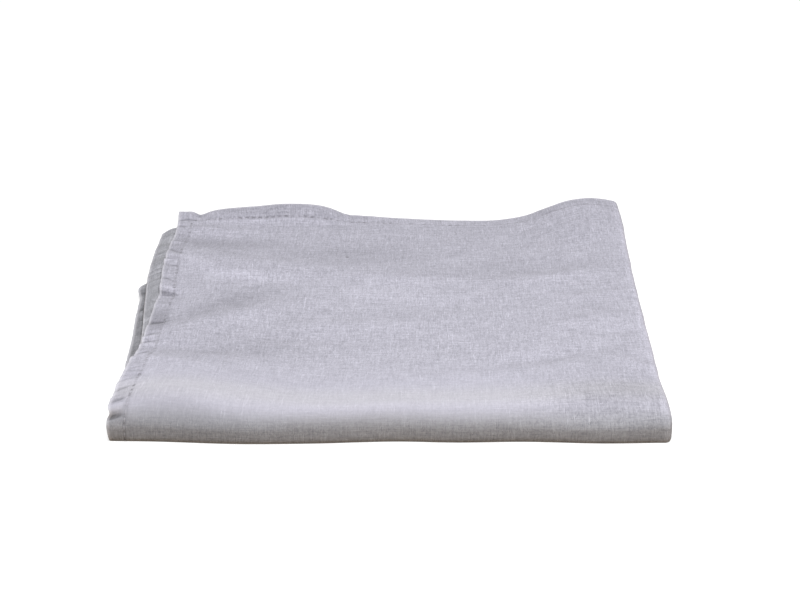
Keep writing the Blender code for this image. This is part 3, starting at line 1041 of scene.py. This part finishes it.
weave = build_weave_group()
print("weave group nodes:", len(weave.nodes))

# %% [markdown]
# Cloth that was dyed as a sewn piece and washed soft is paler where it was rubbed: on the rim of the hem and
# on top of each pucker, and there these masks also paint a highlight. The rest of their light and shade is
# painted: a highlight on the right fold and on the shoulder of the near fold, and shade in the dips, in the
# seam's needle holes, on the front of that fold and on the hidden hems. The hem itself is a little darker,
# partly as three layers of cloth and partly as painted shade of its puckers. Round the near fold the cloth is
# also pulled smooth, though less at its right end. This group puts out those masks from the flat place and
# from how far the sheet stands out.

# %% Wear and painted light group
# Where each mask is 0 and where it is 1, in metres. The worn, highlit pucker ridges and the shaded dips are
# in millimetres of standing out.
WEAR_AND_LIGHT_RANGES = {
    "Hem": (-0.0004, 0.0004),
    "Edge wear and highlight": (0.0016, 0.0002),
    "Ridge wear and highlight": (0.15, 0.75),
    "Shade in dips": (-0.10, -0.65),
    "Painted side fold highlight": (0.0075, 0.0030),
    "Fold front": (-0.014, -0.002),
    "shoulder in": (-0.016, -0.003),
    "shoulder out": (0.008, -0.001),
    "smooth in": (-0.045, 0.0),
    "smooth out": (0.020, 0.009),
    "smooth to the right": (0.195, 0.145),
    "on the seam": (0.0008, 0.0002),
}
SMOOTH_AT_RIGHT = 0.2
HOLE_RANGE = (0.44, 0.22)
HOLE_NOISE_SCALE = 260.0
HOLE_NOISE_RANGE = (0.40, 0.66)


def build_wear_and_light_group():
    """Masks for worn places, for painted light and shade, for the hem and for the seam's needle holes."""
    inputs = {
        "Flat place": NOWHERE,
        "Standing out": 0.0,
        "Cloth side": FLAT * MM,
        "Hem width": HEM_WIDTH * MM,
        "Seam inset": SEAM_INSET * MM,
        "Stitch pitch": (STITCH_LENGTH + STITCH_GAP) * MM,
        "Fold starts": ROLL_STARTS * MM,
        "Fold front": ROLL_FRONT * MM,
    }
    tree, given = start_group("worn places and painted light", "ShaderNodeTree", inputs)

    def mask(name, value, low=0.0):
        return add_ramp(value, *WEAR_AND_LIGHT_RANGES[name], low=low)

    split = add_node(tree, "ShaderNodeSeparateXYZ", {"Vector": given["Flat place"]})
    across, forward = split.outputs["X"], split.outputs["Y"]
    side = given["Cloth side"]
    standing = given["Standing out"]
    places = (across, forward)
    from_side, from_end = (add_math("MINIMUM", place, add_math("SUBTRACT", side, place)) for place in places)
    distance = add_math("MINIMUM", from_side, from_end)
    from_fold = add_math("SUBTRACT", across, add_math("MULTIPLY", side, 0.5))
    past_start = add_math("SUBTRACT", forward, given["Fold starts"])
    hem = mask("Hem", add_math("SUBTRACT", given["Hem width"], distance))
    shoulder = add_math("MULTIPLY", mask("shoulder in", past_start), mask("shoulder out", past_start))
    smooth = add_math("MULTIPLY", mask("smooth in", past_start), mask("smooth out", past_start))

    from_seam = add_math("ABSOLUTE", add_math("SUBTRACT", distance, given["Seam inset"]))
    seam_run = add_blend(add_math("LESS_THAN", from_side, from_end), across, forward)
    stitch = add_math("FRACT", add_math("DIVIDE", seam_run, given["Stitch pitch"]))
    off_hole = add_math("ABSOLUTE", add_math("SUBTRACT", stitch, 0.5))
    uneven = add_ramp(add_noise(given["Flat place"], scale=HOLE_NOISE_SCALE), *HOLE_NOISE_RANGE)
    holes = add_math("MULTIPLY", mask("on the seam", from_seam), add_ramp(off_hole, *HOLE_RANGE))
    outputs = {
        # The hem's edge, worn paler and given a painted highlight.
        "Edge wear and highlight": mask("Edge wear and highlight", distance),
        # Pucker ridges, worn paler and also given a painted highlight.
        "Ridge wear and highlight": mask("Ridge wear and highlight", standing),
        # Painted shade in the dips beside the puckers.
        "Shade in dips": mask("Shade in dips", standing),
        # The hem is a little darker, partly as denser cloth and partly as painted shade of its puckers.
        "Hem": hem,
        # Painted shade on the hems of the hidden layers.
        "Painted shade on hidden hem": add_math("MULTIPLY", hem, add_math("GREATER_THAN", from_fold, 0.0)),
        # Painted shade in the seam's needle holes.
        "Needle hole shade": add_math("MULTIPLY", holes, uneven),
        # Painted highlight along the shoulder of the near fold.
        "Painted shoulder highlight": shoulder,
        "Pulled smooth": add_math("MULTIPLY", smooth, mask("smooth to the right", across, SMOOTH_AT_RIGHT)),
        # Painted highlight along the right fold.
        "Painted side fold highlight": mask("Painted side fold highlight", add_math("ABSOLUTE", from_fold)),
        # Painted shade on the front of the near fold.
        "Fold front": mask("Fold front", add_math("SUBTRACT", forward, given["Fold front"])),
    }
    return end_group(tree, outputs)


wear_and_painted_light = build_wear_and_light_group()
print("wear group nodes:", len(wear_and_painted_light.nodes))

# %% [markdown]
# The linen's colour is a pale grey with a breath of lavender. Its yarns' own light and dark, fine streaks
# along both sets of yarns and a soft, blotchy noise make one tone, which mixes two greys. The masks of slubs,
# hems, puckers and folds only raise or lower one brightness, and that multiplies the colour, so the weave
# shows through all of them. Most of those masks are painted light and shade. The near fold's front and the
# hidden hems get a grey, warm tint of painted shade, and the fold's shoulder a warm painted tint. A few thick
# light yarns and a few dark flecks of flax husk have places of their own.

# %% Linen material
LINEN_DARK = (0.232, 0.229, 0.268)
LINEN_LIGHT = (0.660, 0.653, 0.742)
PAINTED_SHOULDER_TINT = (1.0, 1.0, 0.955)
PAINTED_SHADE_TINT = (0.965, 0.985, 0.93)
WEAVE_HEIGHT = 0.06
GRAIN_HEIGHT = 0.03
CRINKLE_HEIGHT = 0.03
SLUB_HEIGHT = 0.04
CLOUD_LENGTHS = (19.0, 9.0)
CRINKLE_LENGTHS = (6.5, 4.0)
WARP_STREAK_LENGTHS = (0.55, 11.0)
WEFT_STREAK_LENGTHS = (12.0, 0.8)

TONE_WEIGHTS = {"grain": 0.43, "yarn shade": 1.05, "warp streak": 0.34, "weft streak": 0.42, "cloud": 0.16}
# Most of these changes are painted light and shade: shade between the yarns, on the hidden hems, on the near
# fold's front and in the dips, and highlights on that fold's shoulder and on the right fold. The pucker
# ridges are worn paler and painted brighter, the hem is denser cloth and painted shade, and the slubs are the
# yarns' own.
BRIGHTNESS_CHANGES = {
    "Slub": 0.10,
    "Shade between yarns": -0.12,
    "Hem": -0.08,
    "Painted shade on hidden hem": -0.19,
    "Painted shoulder highlight": 0.07,
    "Fold front": -0.25,
    "Painted side fold highlight": 0.20,
    "Ridge wear and highlight": 0.15,
    "Shade in dips": -0.32,
}
THICK_YARN_CHANGE = 0.22
FLECK_CHANGE = -0.75
SMOOTH_CALM = -0.65
FRONT_CALM = -0.05
EDGE_WEAR_HIGHLIGHT_SHARE = 0.50
EDGE_WEAR_HIGHLIGHT_COLOUR = (0.70, 0.695, 0.74)
HOLE_SHADE_SHARE = 0.75
HOLE_SHADE_COLOUR = (0.15, 0.145, 0.16)
BUMP_STRENGTH = 0.8
ROUGHNESS_BY_TONE = (-0.08, 0.93)
LINEN_SURFACE = {"Specular IOR Level": 0.25, "Sheen Weight": 0.18, "Sheen Roughness": 0.55}

MARK_EDGE = (1.0, 0.3)

# Columns: u, v, half_u, half_v, strength.
FLECKS = (
    (86.9, 50.6, 1.4, 0.9, 0.9),
    (128.9, 63.6, 0.7, 0.6, 0.6),
    (145.7, 62.2, 0.7, 0.6, 0.55),
    (31, 173, 0.6, 0.6, 0.4),
    (188, 140, 0.6, 0.6, 0.4),
)
THICK_YARNS = (
    (69, 108, 0.45, 9, 0.9),
    (151, 105.5, 0.45, 9.5, 1),
    (109, 158, 0.40, 7, 0.6),
    (32, 121, 0.40, 6, 0.6),
    (176, 66, 0.40, 7, 0.6),
)


def add_mix(factor, first, second, blend="MIX"):
    """Two colours mixed by a factor."""
    colours = [(*value, 1.0) if isinstance(value, tuple) else value for value in (first, second)]
    inputs = {0: factor, 6: colours[0], 7: colours[1]}
    return work_out("ShaderNodeMix", inputs, data_type="RGBA", blend_type=blend).outputs[2]


def add_marks(flat_place, marks):
    """A mask of small oval marks at their own places."""
    total = 0.0
    for u, v, half_u, half_v, strength in marks:
        apart = add_vector_math("SUBTRACT", flat_place, (u * MM, v * MM, 0.0))
        scaled = add_vector_math("MULTIPLY", apart, (1.0 / (half_u * MM), 1.0 / (half_v * MM), 0.0))
        reach = work_out("ShaderNodeVectorMath", {0: scaled}, operation="LENGTH")
        spot = add_ramp(reach.outputs["Value"], *MARK_EDGE, high=strength)
        total = add_math("MAXIMUM", spot, total)
    return total


def stretched_noise(flat_place, lengths, detail=2.0):
    """Noise whose patches have these lengths in millimetres across and along the cloth."""
    scale = (1.0 / (lengths[0] * MM), 1.0 / (lengths[1] * MM), 1.0)
    return add_noise(add_vector_math("MULTIPLY", flat_place, scale), detail=detail)


def build_linen():
    """Washed grey lavender linen."""
    material, tree, shader = new_material("washed_grey_lavender_linen", LINEN_SURFACE)
    flat_place = add_node(tree, "ShaderNodeUVMap", uv_map="flat_cloth").outputs[0]
    standing = add_node(tree, "ShaderNodeAttribute", attribute_name="standing_out").outputs["Fac"]
    painted_patches = add_node(tree, "ShaderNodeAttribute", attribute_name="painted_light_and_shade").outputs["Fac"]
    wear_inputs = {"Flat place": flat_place, "Standing out": standing}
    groups = (
        add_node(tree, "ShaderNodeGroup", {"Flat place": flat_place}, node_tree=weave),
        add_node(tree, "ShaderNodeGroup", wear_inputs, node_tree=wear_and_painted_light),
    )
    masks = {socket.name: socket for group in groups for socket in group.outputs}

    tones = {
        "grain": masks["Grain"],
        "yarn shade": masks["Yarn shade"],
        "warp streak": stretched_noise(flat_place, WARP_STREAK_LENGTHS),
        "weft streak": stretched_noise(flat_place, WEFT_STREAK_LENGTHS),
        "cloud": stretched_noise(flat_place, CLOUD_LENGTHS, detail=3.0),
    }
    tone = 0.0
    for name, weight in TONE_WEIGHTS.items():
        tone = add_math("MULTIPLY_ADD", add_math("SUBTRACT", tones[name], 0.5), weight, tone)
    calm = add_math("MULTIPLY_ADD", masks["Pulled smooth"], SMOOTH_CALM, 1.0)
    calm = add_math("MULTIPLY_ADD", masks["Fold front"], FRONT_CALM, calm)
    tone = add_math("MULTIPLY_ADD", tone, calm, 0.5)
    # The painted light and shade patches set the starting brightness.
    brightness = add_math("ADD", painted_patches, 1.0)
    for name, change in BRIGHTNESS_CHANGES.items():
        brightness = add_math("MULTIPLY_ADD", masks[name], change, brightness)
    for marks, change in ((THICK_YARNS, THICK_YARN_CHANGE), (FLECKS, FLECK_CHANGE)):
        brightness = add_math("MULTIPLY_ADD", add_marks(flat_place, marks), change, brightness)

    # The shoulder of the near fold gets a warm tint of painted bounced light.
    tint = add_mix(masks["Painted shoulder highlight"], (1.0, 1.0, 1.0), PAINTED_SHOULDER_TINT)
    # The near fold's front and the hidden hems get a grey, warm tint of painted shade.
    painted_shade_share = add_math("MAXIMUM", masks["Fold front"], masks["Painted shade on hidden hem"])
    tint = add_mix(painted_shade_share, tint, PAINTED_SHADE_TINT)
    colour = add_mix(1.0, add_mix(tone, LINEN_DARK, LINEN_LIGHT), tint, blend="MULTIPLY")
    colour = add_vector_math("SCALE", colour, brightness)
    # The hem's edge gets a pale colour that is both worn and a painted highlight, and the needle holes get
    # painted shade.
    for name, share, other in (("Edge wear and highlight", EDGE_WEAR_HIGHLIGHT_SHARE, EDGE_WEAR_HIGHLIGHT_COLOUR), ("Needle hole shade", HOLE_SHADE_SHARE, HOLE_SHADE_COLOUR)):
        colour = add_mix(add_math("MULTIPLY", masks[name], share), colour, other)
    tree.links.new(colour, shader.inputs["Base Color"])

    crinkle = stretched_noise(flat_place, CRINKLE_LENGTHS, detail=3.0)
    height = add_math("MULTIPLY", masks["Height"], WEAVE_HEIGHT * MM)
    bumps = ((masks["Grain"], GRAIN_HEIGHT), (crinkle, CRINKLE_HEIGHT), (masks["Slub"], SLUB_HEIGHT))
    for value, weight in bumps:
        height = add_math("MULTIPLY_ADD", value, weight * MM, height)
    height = add_math("MULTIPLY", height, calm)
    bump = add_node(tree, "ShaderNodeBump", {"Strength": BUMP_STRENGTH, "Distance": 1.0, "Height": height})
    tree.links.new(bump.outputs[0], shader.inputs["Normal"])
    roughness = add_math("MULTIPLY_ADD", tone, *ROUGHNESS_BY_TONE)
    tree.links.new(roughness, shader.inputs["Roughness"])
    return material


linen = build_linen()
napkin_cloth.data.materials.append(linen)
print("linen material nodes:", len(linen.node_tree.nodes))

# %% [markdown]
# The sewing thread is cotton in the cloth's colour, a little darker and smoother than the linen. A fine
# noise stands for its twist.

# %% Thread material and stitches
TWIST_SCALE = 5200.0
TWIST_DEPTH = 0.00004
THREAD_DARK = (0.33, 0.325, 0.36)
THREAD_LIGHT = (0.45, 0.44, 0.49)


def build_thread():
    """Twisted cotton thread."""
    material, tree, shader = new_material("grey_cotton_thread", {"Roughness": 0.7, "Sheen Weight": 0.15})
    place = add_node(tree, "ShaderNodeTexCoord").outputs["Object"]
    twist = add_noise(place, detail=1.0, scale=TWIST_SCALE)
    tree.links.new(add_mix(twist, THREAD_DARK, THREAD_LIGHT), shader.inputs["Base Color"])
    bump = add_node(tree, "ShaderNodeBump", {"Strength": 0.5, "Distance": TWIST_DEPTH, "Height": twist})
    tree.links.new(bump.outputs[0], shader.inputs["Normal"])
    return material


hem_stitches = build_stitches(build_thread())
print("stitches:", len(hem_stitches.data.polygons) // (SPINDLE_SEGMENTS * SPINDLE_RINGS))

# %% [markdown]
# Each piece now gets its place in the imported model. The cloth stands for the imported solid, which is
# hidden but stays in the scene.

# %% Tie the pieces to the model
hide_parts("napkin")
for piece in (napkin_cloth, hem_stitches):
    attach(piece, "root")
print("pieces tied:", napkin_cloth.name, hem_stitches.name)

# %% [markdown]
# The napkin lies on a plain white ground. The camera sees it white and nearly even, because most of its
# white is a glow of its own. A ground that white would also throw so much light up that the front of the
# fold would lose its own shade. So light that bounces off it meets a darker, warmer colour, as from a
# wooden table. The Light Path node tells the two apart.

# %% Ground
GROUND_HALF = 6.0
GROUND_SURFACE = {
    "Base Color": (0.40, 0.40, 0.40, 1.0),
    "Emission Color": (1.0, 1.0, 1.0, 1.0),
    "Emission Strength": 0.78,
    "Roughness": 1.0,
    "Specular IOR Level": 0.0,
}
BOUNCE_COLOUR = (0.35, 0.28, 0.20, 1.0)


def build_ground():
    """A plain pale floor, which the napkin lies on."""
    mesh = bpy.data.meshes.new("floor")
    corners = ((-1, -1), (1, -1), (1, 1), (-1, 1))
    mesh.from_pydata([(x * GROUND_HALF, y * GROUND_HALF, 0.0) for x, y in corners], [], [(0, 1, 2, 3)])
    material, tree, seen = new_material("pale_floor", GROUND_SURFACE)
    bounced = add_node(tree, "ShaderNodeBsdfDiffuse", {"Color": BOUNCE_COLOUR})
    by_camera = add_node(tree, "ShaderNodeLightPath").outputs["Is Camera Ray"]
    mix = add_node(tree, "ShaderNodeMixShader", {0: by_camera, 1: bounced, 2: seen})
    tree.links.new(mix.outputs[0], tree.nodes["Material Output"].inputs["Surface"])
    mesh.materials.append(material)
    return add_object("floor", mesh)


floor = build_ground()
print("ground:", floor.name)

# %% [markdown]
# The light is one soft box above the table, a little toward the viewer and to the right, and a weak even
# sky. Its tilt brightens the shoulder of the near fold and shades the slopes that face away, which is what
# makes the folds show. It stands near enough that the far side gets a little less of it. A second, weak box
# stands low behind the napkin. It hardly touches the top, but without it the far edges of the layers would
# be black from behind.

# %% Light
KEY_PLACE = (0.13, -0.56, 1.13)
KEY_SIDE = 0.5
KEY_POWER = 20.5
FILL_PLACE = (-0.45, 1.45, 0.36)
FILL_SIDE = 0.7
FILL_POWER = 3.2
LIGHT_COLOUR = (1.0, 0.99, 0.995)
SKY_COLOUR = (0.95, 0.96, 1.0, 1.0)
SKY_STRENGTH = 0.11


def add_soft_box(name, place, side, power):
    """A square soft box that faces the middle of the napkin and isn't seen itself."""
    data = bpy.data.lights.new(name, "AREA")
    data.shape = "SQUARE"
    data.size = side
    data.energy = power
    data.color = LIGHT_COLOUR
    box = add_object(name, data)
    box.location = place
    box.rotation_euler = mathutils.Vector(place).to_track_quat("Z", "Y").to_euler()
    box.visible_camera = False
    return box


def set_sky():
    """An even pale sky that fills the shadows a little."""
    world = bpy.data.worlds.new("pale_sky")
    world.use_nodes = True
    sky = world.node_tree.nodes["Background"]
    sky.inputs["Color"].default_value = SKY_COLOUR
    sky.inputs["Strength"].default_value = SKY_STRENGTH
    bpy.context.scene.world = world


key = add_soft_box("key", KEY_PLACE, KEY_SIDE, KEY_POWER)
fill = add_soft_box("fill", FILL_PLACE, FILL_SIDE, FILL_POWER)
set_sky()
bpy.context.scene.view_settings.view_transform = "Standard"
print("lights:", key.name, fill.name)
